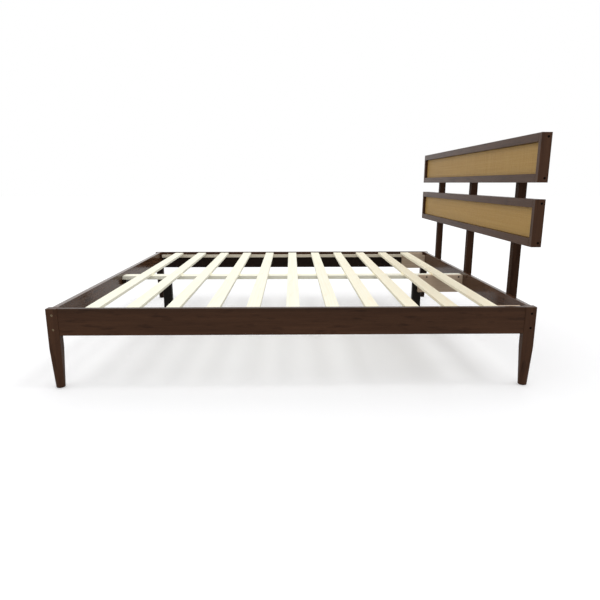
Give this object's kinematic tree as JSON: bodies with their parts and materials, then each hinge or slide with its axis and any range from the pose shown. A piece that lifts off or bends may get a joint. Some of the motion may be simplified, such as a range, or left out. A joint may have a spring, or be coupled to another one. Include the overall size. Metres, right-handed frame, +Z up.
{
  "type": "slatted platform bed",
  "caption": "Wooden double bed frame with slats on a centre beam, tapered corner legs and an open headboard of framed cane panels on posts.",
  "frame": {"origin": "on the floor, under the middle of the whole outline", "axes": "+X along the bed to the headboard, +Y across the bed to the left side of a person who lies on it on their back, +Z up"},
  "size_m": [2.133, 1.86, 1.08],
  "materials": {
    "stained_wood": "dark walnut stain under a satin clear coat",
    "pine": "planed, untreated pale softwood",
    "black_wood": "near black paint, satin",
    "cane": "woven natural cane, satin",
    "back_board": "plain thin board, matt",
    "steel": "zinc plated",
    "glide": "black moulded"
  },
  "bodies": {
    "root": {"side_rail_left": "stained_wood", "side_rail_right": "stained_wood", "foot_rail": "stained_wood", "head_rail": "stained_wood", "leg_foot_left": "stained_wood", "leg_foot_right": "stained_wood", "leg_head_left": "stained_wood", "leg_head_right": "stained_wood", "ledger_left": "pine", "ledger_right": "pine", "centre_beam": "pine", "beam_cleat_foot": "stained_wood", "beam_cleat_head": "stained_wood", "support_leg_foot": "black_wood", "support_leg_head": "black_wood", "centre_brace": "pine", "corner_block_left": "pine", "corner_block_right": "pine", "slat_01": "pine", "slat_02": "pine", "slat_03": "pine", "slat_04": "pine", "slat_05": "pine", "slat_06": "pine", "slat_07": "pine", "slat_08": "pine", "slat_09": "pine", "slat_10": "pine", "slat_11": "pine", "headboard_post_left": "stained_wood", "headboard_post_centre": "stained_wood", "headboard_post_right": "stained_wood", "upper_top_rail": "stained_wood", "upper_bottom_rail": "stained_wood", "upper_stile_left": "stained_wood", "upper_stile_right": "stained_wood", "upper_cane": "cane", "upper_back_board": "back_board", "lower_top_rail": "stained_wood", "lower_bottom_rail": "stained_wood", "lower_stile_left": "stained_wood", "lower_stile_right": "stained_wood", "lower_cane": "cane", "lower_back_board": "back_board", "end_rail_bolts": "steel", "side_rail_bolts": "steel", "barrel_nuts": "steel", "post_bolts": "steel", "post_nuts": "steel", "panel_screws": "steel", "stile_bolts": "steel", "slat_screws": "steel", "brace_bolts": "steel", "foot_glides": "glide"}
  },
  "joints": []
}
